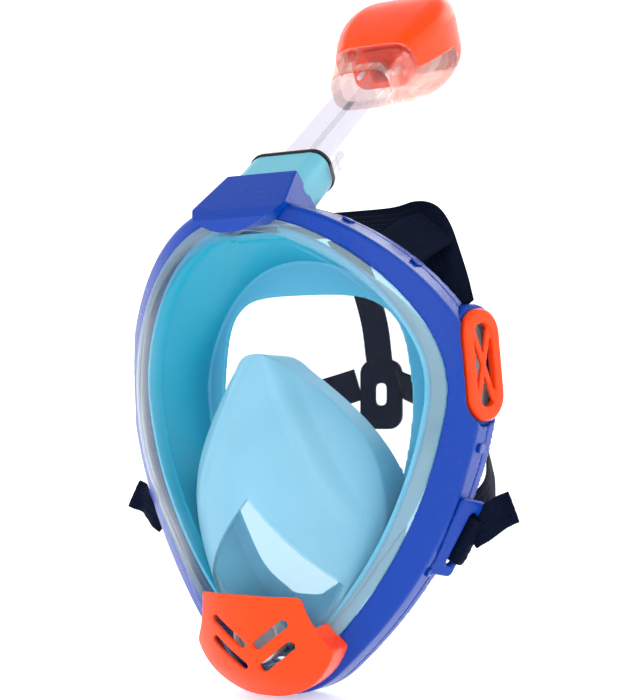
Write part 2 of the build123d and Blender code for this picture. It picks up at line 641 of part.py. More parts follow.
def spoked_seat(plane, radius, thickness):
    """Round valve seat with a rim, a hub and four spokes."""
    with BuildSketch(plane) as seat:
        Circle(radius)
        Circle(radius - 2.2, mode=Mode.SUBTRACT)
        Circle(2.6)
        Rectangle(2 * radius - 2, 1.6)
        Rectangle(1.6, 2 * radius - 2)
    extrude(seat.sketch, amount=thickness)


with BuildPart() as chin_valve_seat:
    spoked_seat(CHIN_VALVE, CHIN_PORT_R - GAP, 2.4)
    with BuildSketch(CHIN_VALVE):
        Circle(CHIN_PORT_R - GAP)
        Circle(CHIN_PORT_R - GAP - 1.6, mode=Mode.SUBTRACT)
    extrude(amount=CHIN_TUNNEL[0])
    with BuildSketch(CHIN_VALVE):
        Circle(CHIN_PORT_R - GAP)
        Circle(CHIN_PORT_R - GAP - 1.6, mode=Mode.SUBTRACT)
    extrude(amount=-CHIN_TUNNEL[1])

with BuildPart() as chin_drain_flap:
    with BuildSketch(CHIN_VALVE.offset(2.6)):
        Circle(CHIN_PORT_R - 2.4)
    extrude(amount=0.9)


# ---------------------------------------------------------------- head harness
def band(plane, points, width):
    """Flat strap along a line in a plane, as wide as width across that plane."""
    with BuildSketch(plane) as ribbon:
        with BuildLine():
            Spline(*points)
        trace(line_width=STRAP_THICKNESS)
    extrude(ribbon.sketch, amount=width / 2, both=True)


with BuildPart() as crown_strap:
    band(CROWN_PLANE, CROWN_LINE + [(-x, y) for x, y in reversed(CROWN_LINE[:-1])], CROWN_WIDTH)
    with BuildSketch(WING_PLANE) as wing:
        with BuildLine():
            Polyline(*WING, close=True)
        make_face()
    extrude(amount=STRAP_THICKNESS / 2, both=True)
    mirror(about=Plane.YZ)

with BuildPart() as nape_strap:
    band(NAPE_PLANE, NAPE_LINE, NAPE_WIDTH)
    add([frame_front.part, frame_rear.part, strap_lug.part], mode=Mode.SUBTRACT)

with BuildPart() as link_strap:
    band(Plane.YZ, LINK_LINE, LINK_WIDTH)

with BuildPart() as back_pad:
    with BuildSketch(at_depth(BACK_PAD[1])):
        with Locations((0, BACK_PAD[2])):
            RectangleRounded(28, 44, 9)
            with Locations((0, 0)):
                RectangleRounded(8, 14, 3, mode=Mode.SUBTRACT)
    extrude(amount=-4)

with BuildPart() as strap_tail:
    with BuildSketch(at_depth(TAIL_DEPTH)):
        with BuildLine():
            Polyline(*TAIL, close=True)
        make_face()
    extrude(amount=STRAP_THICKNESS)
    add([frame_rear.part, strap_lug.part, nape_strap.part], mode=Mode.SUBTRACT)

# ---------------------------------------------------------------- files
SINGLE = {
    "frame_front": frame_front, "frame_rear": frame_rear, "frame_clips": frame_clips, "visor": visor,
    "face_skirt": face_skirt, "oronasal_cup": oronasal_cup, "chin_cover": chin_cover,
    "chin_valve_seat": chin_valve_seat, "chin_drain_flap": chin_drain_flap,
    "snorkel_socket": snorkel_socket, "socket_connector": socket_connector, "socket_gasket": socket_gasket,
    "snorkel_tube": snorkel_tube, "tube_divider": tube_divider, "release_tabs": release_tabs,
    "dry_top_housing": dry_top_housing, "dry_top_cap": dry_top_cap, "dry_top_seat": dry_top_seat,
    "float_guides": float_guides, "dry_top_float": dry_top_float, "float_seal": float_seal,
    "crown_strap": crown_strap, "link_strap": link_strap, "back_pad": back_pad,
}
PAIRED = {
    "pod_housing": pod_housing, "exhaust_seat": exhaust_seat, "exhaust_flap": exhaust_flap,
    "side_grille": side_grille,
    "strap_lug": strap_lug, "nape_strap": nape_strap, "strap_tail": strap_tail,
}

SEVERAL_SOLIDS = ("frame_rear", "frame_clips", "tube_divider", "release_tabs", "float_guides")

for name, piece in SINGLE.items():
    save(piece.part if name in SEVERAL_SOLIDS else main_body(piece.part), name)
for name, piece in PAIRED.items():
    body = main_body(piece.part)
    save(body, f"{name}_right")
    save(mirror(body, about=Plane.YZ), f"{name}_left")
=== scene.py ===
from math import atan2, cos, inf, pi, radians, sin, sqrt

import bmesh
import bpy
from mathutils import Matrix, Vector


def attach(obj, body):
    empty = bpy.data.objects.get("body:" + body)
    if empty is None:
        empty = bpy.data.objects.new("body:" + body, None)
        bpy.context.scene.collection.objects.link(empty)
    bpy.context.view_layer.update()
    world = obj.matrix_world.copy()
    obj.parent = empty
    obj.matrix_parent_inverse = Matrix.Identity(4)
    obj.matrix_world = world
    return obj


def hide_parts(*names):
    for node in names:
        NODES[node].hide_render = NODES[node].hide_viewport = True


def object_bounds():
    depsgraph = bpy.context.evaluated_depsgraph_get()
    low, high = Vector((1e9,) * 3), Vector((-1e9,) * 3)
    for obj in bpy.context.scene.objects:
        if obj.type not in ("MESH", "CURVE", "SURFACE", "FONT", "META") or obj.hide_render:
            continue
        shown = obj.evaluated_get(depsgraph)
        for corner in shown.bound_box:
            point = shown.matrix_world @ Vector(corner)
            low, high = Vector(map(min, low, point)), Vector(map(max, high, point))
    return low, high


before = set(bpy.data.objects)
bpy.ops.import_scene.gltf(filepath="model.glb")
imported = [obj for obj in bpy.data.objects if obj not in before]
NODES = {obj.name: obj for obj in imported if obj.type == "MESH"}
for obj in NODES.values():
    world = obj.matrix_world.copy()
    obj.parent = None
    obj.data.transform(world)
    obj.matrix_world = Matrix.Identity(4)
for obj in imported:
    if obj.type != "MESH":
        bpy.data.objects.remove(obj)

# Full-face snorkel mask, in metres and in the CAD frame: +Z up, the mask looks along -Y.
CAD_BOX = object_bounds()
SIDES = (("right", 1), ("left", -1))
MM = 0.001


# ---------------------------------------------------------------- materials
# A surface's roughness wanders between these shares of its own value.
GLOSS_SPREAD = (0.8, 1.2)
# The paint turns from the wall colour to a paler colour, painted light on flanges, between these shares of
# facing forward or back.
PAINTED_PALE_FACING = (0.5, 0.9)
# The cup's clear window: its apex, how steeply its sides fall, how far back it reaches, how soft its
# sides and its back are, and how solid it stays.
WINDOW_TOP = -0.045
WINDOW_SLOPE = 1.16
WINDOW_DEPTH = -0.030
WINDOW_SIDE_BLUR = 1.5 * MM
WINDOW_BACK_BLUR = 3 * MM
WINDOW_SOLID = 0.22
# The least light of any colour that comes through clear silicone.
SILICONE_PASS = 0.72
# How much of the dry top's housing refracts what is behind it.
HOUSING_BEND = 0.45
# How late clear plastic turns whitish as it turns edge on.
EDGE_POWER = 9.0
# How close the weave's bands lie across the strap and along it.
WEAVE = (("X", 150.0), ("Y", 260.0))


def tree_of(name):
    made = bpy.data.materials.new(name)
    made.use_nodes = True
    tree = made.node_tree
    tree.nodes.clear()
    return made, tree


def node(tree, kind, **values):
    made = tree.nodes.new(kind)
    for key, value in values.items():
        if hasattr(made, key):
            setattr(made, key, value)
        else:
            made.inputs[key.replace("_", " ")].default_value = value
    return made


def grain(tree, shader, colour, rough, mottle, grain_scale, grain_depth, cloud_scale=35.0):
    """Cloudy colour and roughness and a fine surface grain, in object coordinates."""
    where = node(tree, "ShaderNodeTexCoord")
    cloud = node(tree, "ShaderNodeTexNoise", Scale=cloud_scale, Detail=3.0)
    tree.links.new(where.outputs["Object"], cloud.inputs["Vector"])
    tint = node(tree, "ShaderNodeMix", data_type="RGBA")
    tint.inputs["A"].default_value = [min(1.0, c * (1 - mottle)) for c in colour] + [1]
    tint.inputs["B"].default_value = [min(1.0, c * (1 + mottle)) for c in colour] + [1]
    tree.links.new(cloud.outputs["Fac"], tint.inputs["Factor"])
    tree.links.new(tint.outputs["Result"], shader.inputs["Base Color"])
    gloss = node(tree, "ShaderNodeMapRange")
    gloss.inputs["To Min"].default_value = rough * GLOSS_SPREAD[0]
    gloss.inputs["To Max"].default_value = rough * GLOSS_SPREAD[1]
    tree.links.new(cloud.outputs["Fac"], gloss.inputs["Value"])
    tree.links.new(gloss.outputs["Result"], shader.inputs["Roughness"])
    fine = node(tree, "ShaderNodeTexNoise", Scale=grain_scale, Detail=4.0)
    tree.links.new(where.outputs["Object"], fine.inputs["Vector"])
    bump = node(tree, "ShaderNodeBump", Strength=0.5, Distance=grain_depth)
    tree.links.new(fine.outputs["Fac"], bump.inputs["Height"])
    tree.links.new(bump.outputs["Normal"], shader.inputs["Normal"])
    return where, bump


def moulded_plastic(name, colour, rough=0.32, mottle=0.06, coat=0.15):
    made, tree = tree_of(name)
    shader = node(tree, "ShaderNodeBsdfPrincipled")
    shader.inputs["Specular IOR Level"].default_value = 0.14
    shader.inputs["Coat Weight"].default_value = coat
    shader.inputs["Coat Roughness"].default_value = 0.12
    grain(tree, shader, colour, rough, mottle, grain_scale=900.0, grain_depth=0.00012)
    out = node(tree, "ShaderNodeOutputMaterial")
    tree.links.new(shader.outputs["BSDF"], out.inputs["Surface"])
    return made


def painted_pale_share(tree):
    """Share of painted paleness, painted light for what the flanges catch: 0 on walls along the line of
    sight, 1 on flanges that face forward or back.
    """
    where = node(tree, "ShaderNodeTexCoord")
    split = node(tree, "ShaderNodeSeparateXYZ")
    tree.links.new(where.outputs["Normal"], split.inputs["Vector"])
    facing = node(tree, "ShaderNodeMath", operation="ABSOLUTE")
    tree.links.new(split.outputs["Y"], facing.inputs[0])
    share = node(tree, "ShaderNodeMapRange", interpolation_type="SMOOTHSTEP")
    share.inputs["From Min"].default_value = PAINTED_PALE_FACING[0]
    share.inputs["From Max"].default_value = PAINTED_PALE_FACING[1]
    tree.links.new(facing.outputs["Value"], share.inputs["Value"])
    return share.outputs["Result"]


def window_share(tree):
    """1 inside the cup's clear window, an upright V turned over on its front below the nose, else 0."""
    where = node(tree, "ShaderNodeTexCoord")
    split = node(tree, "ShaderNodeSeparateXYZ")
    tree.links.new(where.outputs["Object"], split.inputs["Vector"])
    out = node(tree, "ShaderNodeMath", operation="ABSOLUTE")
    tree.links.new(split.outputs["X"], out.inputs[0])
    drop = node(tree, "ShaderNodeMath", operation="MULTIPLY_ADD")
    drop.inputs[1].default_value = WINDOW_SLOPE
    tree.links.new(out.outputs["Value"], drop.inputs[0])
    tree.links.new(split.outputs["Z"], drop.inputs[2])
    below = node(tree, "ShaderNodeMapRange", interpolation_type="SMOOTHSTEP")
    below.inputs["From Min"].default_value = WINDOW_TOP
    below.inputs["From Max"].default_value = WINDOW_TOP - WINDOW_SIDE_BLUR
    tree.links.new(drop.outputs["Value"], below.inputs["Value"])
    front = node(tree, "ShaderNodeMapRange", interpolation_type="SMOOTHSTEP")
    front.inputs["From Min"].default_value = WINDOW_DEPTH
    front.inputs["From Max"].default_value = WINDOW_DEPTH - WINDOW_BACK_BLUR
    tree.links.new(split.outputs["Y"], front.inputs["Value"])
    both = node(tree, "ShaderNodeMath", operation="MULTIPLY")
    tree.links.new(below.outputs["Result"], both.inputs[0])
    tree.links.new(front.outputs["Result"], both.inputs[1])
    return both.outputs["Value"]


def silicone(name, colour, clear=0.0, rough=0.38, glow=0.25, depth=0.004, painted_pale=None, window=False):
    """Soft silicone: light spreads inside it, and clear is the share that shows what is behind it."""
    made, tree = tree_of(name)
    shader = node(tree, "ShaderNodeBsdfPrincipled")
    shader.inputs["Subsurface Weight"].default_value = glow
    shader.inputs["Subsurface Radius"].default_value = (0.6, 1.0, 1.2)
    shader.inputs["Subsurface Scale"].default_value = depth
    shader.inputs["Specular IOR Level"].default_value = 0.2
    shader.inputs["Coat Weight"].default_value = 0.05
    shader.inputs["Coat Roughness"].default_value = 0.25
    grain(tree, shader, colour, rough, mottle=0.05, grain_scale=600.0, grain_depth=0.0001)
    # Faces that point forward or back are painted paler: painted light on the flanges, not a different
    # silicone colour.
    if painted_pale:
        pale = node(tree, "ShaderNodeMix", data_type="RGBA")
        tree.links.new(painted_pale_share(tree), pale.inputs["Factor"])
        tree.links.new(shader.inputs["Base Color"].links[0].from_socket, pale.inputs["A"])
        pale.inputs["B"].default_value = list(painted_pale) + [1]
        tree.links.new(pale.outputs["Result"], shader.inputs["Base Color"])
    out = node(tree, "ShaderNodeOutputMaterial")
    if clear:
        through = node(tree, "ShaderNodeBsdfTransparent")
        passed = [min(1.0, SILICONE_PASS + (1 - SILICONE_PASS) * c) for c in colour]
        through.inputs["Color"].default_value = passed + [1]
        mixed = node(tree, "ShaderNodeMixShader")
        mixed.inputs["Fac"].default_value = 1 - clear
        if window:
            solid = node(tree, "ShaderNodeMapRange")
            solid.inputs["To Min"].default_value = 1 - clear
            solid.inputs["To Max"].default_value = WINDOW_SOLID
            tree.links.new(window_share(tree), solid.inputs["Value"])
            tree.links.new(solid.outputs["Result"], mixed.inputs["Fac"])
        tree.links.new(through.outputs["BSDF"], mixed.inputs[1])
        tree.links.new(shader.outputs["BSDF"], mixed.inputs[2])
        tree.links.new(mixed.outputs["Shader"], out.inputs["Surface"])
    else:
        tree.links.new(shader.outputs["BSDF"], out.inputs["Surface"])
    return made


def cast_clear(name, tint, rough=0.03):
    """Thick clear plastic that partly bends the light, as the dry top's moulded housing does."""
    made, tree = tree_of(name)
    shader = node(tree, "ShaderNodeBsdfPrincipled")
    shader.inputs["Transmission Weight"].default_value = 1.0
    shader.inputs["IOR"].default_value = 1.45
    grain(tree, shader, tint, rough, mottle=0.02, grain_scale=260.0, grain_depth=0.00008, cloud_scale=20.0)
    through = node(tree, "ShaderNodeBsdfTransparent")
    through.inputs["Color"].default_value = list(tint) + [1]
    mixed = node(tree, "ShaderNodeMixShader")
    mixed.inputs["Fac"].default_value = HOUSING_BEND
    tree.links.new(through.outputs["BSDF"], mixed.inputs[1])
    tree.links.new(shader.outputs["BSDF"], mixed.inputs[2])
    out = node(tree, "ShaderNodeOutputMaterial")
    tree.links.new(mixed.outputs["Shader"], out.inputs["Surface"])
    return made


def clear_plastic(name, tint, haze=0.02, rough=0.06, edge=0.6):
    """Clear moulded polycarbonate: see-through face on, bright and whitish where it is seen edge on."""
    made, tree = tree_of(name)
    shader = node(tree, "ShaderNodeBsdfPrincipled")
    grain(tree, shader, tint, rough, mottle=0.02, grain_scale=220.0, grain_depth=0.00006, cloud_scale=18.0)
    through = node(tree, "ShaderNodeBsdfTransparent")
    through.inputs["Color"].default_value = list(tint) + [1]
    rim = node(tree, "ShaderNodeLayerWeight", Blend=0.5)
    late = node(tree, "ShaderNodeMath", operation="POWER")
    late.inputs[1].default_value = EDGE_POWER
    tree.links.new(rim.outputs["Facing"], late.inputs[0])
    share = node(tree, "ShaderNodeMapRange")
    share.inputs["To Min"].default_value = haze
    share.inputs["To Max"].default_value = edge
    tree.links.new(late.outputs["Value"], share.inputs["Value"])
    mixed = node(tree, "ShaderNodeMixShader")
    tree.links.new(share.outputs["Result"], mixed.inputs["Fac"])
    tree.links.new(through.outputs["BSDF"], mixed.inputs[1])
    tree.links.new(shader.outputs["BSDF"], mixed.inputs[2])
    out = node(tree, "ShaderNodeOutputMaterial")
    tree.links.new(mixed.outputs["Shader"], out.inputs["Surface"])
    return made


def webbing(name, colour):
    """Woven elastic: a fine cross weave that runs with the strap, with soft sheen."""
    made, tree = tree_of(name)
    shader = node(tree, "ShaderNodeBsdfPrincipled")
    shader.inputs["Specular IOR Level"].default_value = 0.05
    shader.inputs["Sheen Weight"].default_value = 0.02
    shader.inputs["Sheen Roughness"].default_value = 0.4
    where, bump = grain(tree, shader, colour, rough=0.62, mottle=0.18, grain_scale=1400.0,
                        grain_depth=0.0001, cloud_scale=60.0)
    weave = []
    for direction, bands in WEAVE:
        wave = node(tree, "ShaderNodeTexWave", wave_type="BANDS", bands_direction=direction, Scale=bands)
        tree.links.new(where.outputs["UV"], wave.inputs["Vector"])
        weave.append(wave)
    both = node(tree, "ShaderNodeMath", operation="MULTIPLY")
    tree.links.new(weave[0].outputs["Fac"], both.inputs[0])
    tree.links.new(weave[1].outputs["Fac"], both.inputs[1])
    cross = node(tree, "ShaderNodeBump", Strength=0.8, Distance=0.0003)
    tree.links.new(both.outputs["Value"], cross.inputs["Height"])
    tree.links.new(bump.outputs["Normal"], cross.inputs["Normal"])
    tree.links.new(cross.outputs["Normal"], shader.inputs["Normal"])
    out = node(tree, "ShaderNodeOutputMaterial")
    tree.links.new(shader.outputs["BSDF"], out.inputs["Surface"])
    return made


FRAME_BLUE = moulded_plastic("frame_blue", (0.001, 0.042, 0.34), rough=0.28)
ORANGE = moulded_plastic("orange_plastic", (1.0, 0.058, 0.003), rough=0.26, mottle=0.04)
CONNECTOR = moulded_plastic("connector_cyan", (0.14, 0.46, 0.58), rough=0.35)
VALVE = moulded_plastic("valve_plastic", (0.72, 0.80, 0.84), rough=0.45, coat=0.1)
VISOR_CLEAR = clear_plastic("visor_clear", (0.90, 0.925, 0.95), haze=0.006, edge=0.75)
# The rim's copy of the clear plastic is painted paler and hazier than the dome's, though both are one
# plastic: painted light on the flange.
VISOR_RIM = clear_plastic("visor_rim", (0.62, 0.80, 0.88), haze=0.22, edge=0.9)
TUBE_CLEAR = clear_plastic("tube_clear", (0.93, 0.925, 0.945), haze=0.05, edge=0.8)
# The housing's pinkish tint is painted: it stands in for the orange cap's and float's light seen through the
# clear plastic.
HOUSING_CLEAR = cast_clear("housing_clear", (1.0, 0.86, 0.82))
# The skirt's flanges get a paler cyan: painted light for the light they catch face on.
SKIRT = silicone("skirt_silicone", (0.0, 0.50, 0.66), glow=0.12, painted_pale=(0.20, 0.66, 0.84))
CUP = silicone("cup_silicone", (0.34, 0.68, 0.81), clear=0.14, glow=0.2, window=True)
FLAP = silicone("flap_silicone", (0.62, 0.76, 0.82), clear=0.35)
GASKET = silicone("gasket_black", (0.008, 0.008, 0.010), glow=0.0, rough=0.5)
STRAP = webbing("strap_navy", (0.002, 0.005, 0.018))


# ---------------------------------------------------------------- mesh helpers
def new_object(name, vertices, faces, made, body, replaced):
    """A piece drawn here, from its vertices and faces."""
    mesh = bpy.data.meshes.new(name)
    mesh.from_pydata([tuple(v) for v in vertices], [], faces)
    mesh.validate()
    mesh.update()
    obj = bpy.data.objects.new(name, mesh)
    bpy.context.scene.collection.objects.link(obj)
    return finish_piece(obj, made, body, replaced)


def finish_piece(obj, made, body, replaced):
    """Gives a piece its look, the body it rides on and the CAD nodes it stands for."""
    obj.data.materials.clear()
    obj.data.materials.append(made)
    for face in obj.data.polygons:
        face.use_smooth = True
    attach(obj, body)
    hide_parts(*replaced)
    return obj


def apply_modifiers(obj):
    """The object's mesh with its modifiers applied, in their place."""
    bpy.context.view_layer.update()
    seen = obj.evaluated_get(bpy.context.evaluated_depsgraph_get())
    mesh = bpy.data.meshes.new_from_object(seen)
    obj.modifiers.clear()
    obj.data = mesh


def rounded(name, made, body, voxel=0.8 * MM, passes=4):
    """A copy of a CAD piece with every edge rounded as a mould leaves it."""
    mesh = NODES[name].data.copy()
    obj = bpy.data.objects.new(name + "_moulded", mesh)
    bpy.context.scene.collection.objects.link(obj)
    remesh = obj.modifiers.new("solid", "REMESH")
    remesh.mode = "VOXEL"
    remesh.voxel_size = voxel
    smooth = obj.modifiers.new("round", "SMOOTH")
    smooth.factor = 0.5
    smooth.iterations = passes
    apply_modifiers(obj)
    return finish_piece(obj, made, body, [name])


def painted(name, made, angle=32.0):
    """A CAD piece that keeps its own mesh, smooth across its soft edges."""
    obj = NODES[name]
    obj.data.materials.clear()
    obj.data.materials.append(made)
    obj.data.polygons.foreach_set("use_smooth", [True] * len(obj.data.polygons))
    obj.data.set_sharp_from_angle(angle=radians(angle))


def curve_points(points, steps):
    """Smooth line through points, with steps between each two."""
    padded = [points[0] * 2 - points[1], *points, points[-1] * 2 - points[-2]]
    line = []
    for a, b, c, d in zip(padded, padded[1:], padded[2:], padded[3:]):
        for step in range(steps):
            t = step / steps
            line.append(0.5 * (2 * b + (c - a) * t + (2 * a - 5 * b + 4 * c - d) * t * t
                               + (3 * b - a - 3 * c + d) * t ** 3))
    line.append(points[-1])
    return line


# Across a strap: steps over its width, how square its edges are and how deep its ribs, as a share.
STRAP_STEPS = 20
STRAP_SQUARE = 8
STRAP_RIB = 0.18


def strap(name, line, across, width, thick, body, replaced, ribs=3):
    """Flat webbing along a line of points; across, one for all or one for each, is where its width points."""
    vertices, faces, uvs = [], [], []
    lengths = [0.0]
    for a, b in zip(line, line[1:]):
        lengths.append(lengths[-1] + (b - a).length)
    ring = 2 * (STRAP_STEPS + 1)
    for index, point in enumerate(line):
        ahead = line[min(index + 1, len(line) - 1)] - line[max(index - 1, 0)]
        ahead.normalize()
        spread = across[index] if isinstance(across, list) else across
        wide = (spread - ahead * spread.dot(ahead)).normalized()
        out = ahead.cross(wide)
        for face in (1, -1):
            for step in range(STRAP_STEPS + 1):
                share = (step / STRAP_STEPS if face == 1 else 1 - step / STRAP_STEPS) * 2 - 1
                edge = sqrt(max(0.0, 1 - abs(share) ** STRAP_SQUARE))
                ripple = 1 - STRAP_RIB + STRAP_RIB * cos(share * pi * 2 * ribs)
                vertices.append(point + wide * share * width / 2 + out * face * thick / 2 * edge * ripple)
                uvs.append((share * width / 2, lengths[index]))
    for index in range(len(line) - 1):
        for step in range(ring):
            nxt = (step + 1) % ring
            faces.append([index * ring + step, index * ring + nxt,
                          (index + 1) * ring + nxt, (index + 1) * ring + step])
    faces.append(list(range(ring))[::-1])
    faces.append([(len(line) - 1) * ring + step for step in range(ring)])
    obj = new_object(name, vertices, faces, STRAP, body, replaced)
    layer = obj.data.uv_layers.new(name="weave")
    for loop in obj.data.loops:
        layer.data[loop.index].uv = uvs[loop.vertex_index]
    return obj


# ---------------------------------------------------------------- hard pieces
ROOT = "mask"
for name in ("frame_front", "frame_rear", "pod_housing_right", "pod_housing_left",
             "strap_lug_right", "strap_lug_left"):
    rounded(name, FRAME_BLUE, ROOT)
rounded("frame_clips", FRAME_BLUE, ROOT, voxel=0.5 * MM)
painted("snorkel_socket", FRAME_BLUE, angle=25.0)
for name in ("chin_cover", "side_grille_right", "side_grille_left"):
    rounded(name, ORANGE, ROOT, voxel=0.5 * MM, passes=5)
rounded("socket_connector", CONNECTOR, ROOT, voxel=0.7 * MM)
rounded("socket_gasket", GASKET, ROOT, voxel=0.4 * MM)
rounded("dry_top_cap", ORANGE, "snorkel", voxel=0.7 * MM, passes=6)
rounded("dry_top_float", ORANGE, "float", voxel=0.6 * MM)


# Sectors round the line of sight, places tried along an edge, how near its outline the visor is rim,
# and the angle up to which two faces belong to one smooth patch.
SECTORS = 240
EDGE_STEPS = 16
RIM_REACH = 5.0 * MM
SOFT_EDGE = radians(25)


def sector(place):
    """Which of the equal sectors round the line of sight a place lies in."""
    return int((atan2(place.z, place.x) / (2 * pi) + 0.5) * SECTORS) % SECTORS


def smooth_patches(mesh):
    """The mesh's faces as patches that meet each other only at sharp edges."""
    net = bmesh.new()
    net.from_mesh(mesh)
    seen = set()
    patches = []
    for start in net.faces:
        if start.index in seen:
            continue
        seen.add(start.index)
        patch, waiting = [], [start]
        while waiting:
            face = waiting.pop()
            patch.append(face.index)
            for edge in face.edges:
                if edge.calc_face_angle(pi) < SOFT_EDGE:
                    for beside in edge.link_faces:
                        if beside.index not in seen:
                            seen.add(beside.index)
                            waiting.append(beside)
        patches.append(patch)
    net.free()
    return patches


def visor():
    """The visor's own shape with its flat rim, clamped between frame and skirt; the rim is painted paler and
    hazier than the dome, painted light for what the clear flange catches.
    """
    obj = bpy.data.objects.new("visor_moulded", NODES["visor"].data.copy())
    bpy.context.scene.collection.objects.link(obj)
    finish_piece(obj, VISOR_CLEAR, ROOT, ["visor"])
    mesh = obj.data
    mesh.set_sharp_from_angle(angle=SOFT_EDGE)
    mesh.materials.append(VISOR_RIM)
    reach = [0.0] * SECTORS
    for edge in mesh.edges:
        start, end = [mesh.vertices[index].co for index in edge.vertices]
        for step in range(EDGE_STEPS + 1):
            place = start.lerp(end, step / EDGE_STEPS)
            index = sector(place)
            reach[index] = max(reach[index], sqrt(place.x ** 2 + place.z ** 2))
    for patch in smooth_patches(mesh):
        area, inset = 0.0, 0.0
        for index in patch:
            face = mesh.polygons[index]
            area += face.area
            inset += face.area * (reach[sector(face.center)] - sqrt(face.center.x ** 2 + face.center.z ** 2))
        if inset < RIM_REACH * area:
            for index in patch:
                mesh.polygons[index].material_index = 1


visor()
for name in ("snorkel_tube", "tube_divider", "release_tabs"):
    painted(name, TUBE_CLEAR)
painted("dry_top_housing", HOUSING_CLEAR)
for name in ("dry_top_seat", "float_guides", "chin_valve_seat", "exhaust_seat_right", "exhaust_seat_left"):
    painted(name, VALVE)
for name in ("float_seal", "chin_drain_flap", "exhaust_flap_right", "exhaust_flap_left"):
    painted(name, FLAP)

# ---------------------------------------------------------------- soft pieces
skirt = rounded("face_skirt", SKIRT, ROOT, voxel=0.9 * MM, passes=10)

# A sealing bead runs round the skirt's inner wall, behind its front edge.
BEAD_BACK = 9 * MM
BEAD_HALF = 1.6 * MM
BEAD_HEIGHT = 1.0 * MM
BEAD_FACING = 0.5
front_edge = [inf] * SECTORS
for vertex in skirt.data.vertices:
    index = sector(vertex.co)
    front_edge[index] = min(front_edge[index], vertex.co.y)
for vertex in skirt.data.vertices:
    behind = abs(vertex.co.y - front_edge[sector(vertex.co)] - BEAD_BACK) / BEAD_HALF
    inward = Vector((-vertex.co.x, 0, -vertex.co.z)).normalized()
    if behind < 1 and vertex.normal.dot(inward) > BEAD_FACING:
        vertex.co += inward * BEAD_HEIGHT * cos(behind * pi / 2)
cup = rounded("oronasal_cup", CUP, ROOT, voxel=0.8 * MM, passes=10)

# From the bridge of the nose a soft ridge runs down each side of the cup's front and fades out below.
RIDGE_BACK = -0.030
RIDGE_TOP = 27 * MM
RIDGE_START = 6 * MM
RIDGE_SPREAD = 0.46
RIDGE_HALF = 7 * MM
RIDGE_HEIGHT = 3.2 * MM
RIDGE_FADE = (-62 * MM, -40 * MM)
for vertex in cup.data.vertices:
    place = vertex.co
    if place.y < RIDGE_BACK and place.z < RIDGE_TOP:
        line = RIDGE_START + RIDGE_SPREAD * (RIDGE_TOP - place.z)
        fade = min(1.0, max(0.0, (place.z - RIDGE_FADE[0]) / (RIDGE_FADE[1] - RIDGE_FADE[0])))
        near = max(0.0, 1 - ((abs(place.x) - line) / RIDGE_HALF) ** 2)
        place.y -= RIDGE_HEIGHT * fade * near ** 2


def on_plane(origin, up, points):
    """Points drawn across and up in a tilted plane whose x axis is the CAD's."""
    return [(Vector(origin) + Vector((x, 0, 0)) + Vector(up) * y) * MM for x, y in points]


def mirrored(place, side):
    """A place or a direction of the right side, or its mirror image when side is -1."""
    return Vector((place[0] * side, place[1], place[2]))


# How thick the webbing is.
WEBBING = 2.2 * MM

# Crown strap: level over the head, then twisting down each side to the pods.
OVER = Vector((0, -0.88, 0.475))
DOWN = Vector((0.881, -0.142, 0.451))
CROWN_STEPS = 12
CROWN = [((0, 37.5, 104.8), OVER), ((22, 37.5, 104.8), OVER), ((40, 38, 105), OVER * 0.9 + DOWN * 0.1),
         ((52, 39, 106.5), OVER * 0.7 + DOWN * 0.3), ((60, 37, 102.5), OVER * 0.4 + DOWN * 0.6),
         ((66, 31, 93), OVER * 0.1 + DOWN * 0.9), ((72, 24, 80.5), DOWN), ((79, 17, 65), DOWN),
         ((82.5, 12.5, 56.5), DOWN), ((85, 9, 50.5), DOWN)]
right = [(Vector(place) * MM, across) for place, across in CROWN]
whole = [(mirrored(p, -1), mirrored(w, -1)) for p, w in right[:0:-1]] + right
crown_line = curve_points([p for p, w in whole], CROWN_STEPS)
crown_wide = curve_points([w for p, w in whole], CROWN_STEPS)
strap("crown_webbing", crown_line, crown_wide, width=24 * MM, thick=WEBBING, body=ROOT,
      replaced=["crown_strap"])

# Each end is also tied down to the frame's rear edge by a broad ribbed web under the ridge.
WEB = [(52, -4, 80), (58, 10, 89), (64, 22, 96), (67.5, 30, 98.5)]
WEB_ACROSS = (0.85, 0, -0.53)
for label, side in SIDES:
    web = [mirrored(place, side) * MM for place in WEB]
    strap(f"web_{label}", curve_points(web, steps=6), mirrored(WEB_ACROSS, side), width=32 * MM, thick=2 * MM,
          body=ROOT, replaced=["crown_strap"], ribs=6)

# Nape strap: from each lug round to the back pad, in one plane that rises to the back. Its loose end
# comes back through the lug and stands out from it.
NAPE_START = (0, 8, -62)
NAPE_ACROSS = Vector((0, -0.6, 0.8))
NAPE_UP = (0, 0.8, 0.6)
NAPE = [(89, 6), (96, 20), (95, 36), (85, 63), (55, 101), (14, 127)]
TAIL = [(92, 8.6, -66), (98, 7.8, -62), (104, 8.4, -57.5), (110, 9.6, -53.5), (115.5, 9.0, -51)]
TAIL_ACROSS = (0.42, 0, 0.9)
for label, side in SIDES:
    nape = on_plane(NAPE_START, NAPE_UP, [(x * side, y) for x, y in NAPE])
    strap(f"nape_webbing_{label}", curve_points(nape, steps=10), NAPE_ACROSS, width=24 * MM, thick=WEBBING,
          body=ROOT, replaced=[f"nape_strap_{label}"])
    tail = [mirrored(place, side) * MM for place in TAIL]
    strap(f"tail_webbing_{label}", curve_points(tail, steps=8), mirrored(TAIL_ACROSS, side), width=17 * MM,
          thick=WEBBING, body=ROOT, replaced=[f"strap_tail_{label}"], ribs=2)

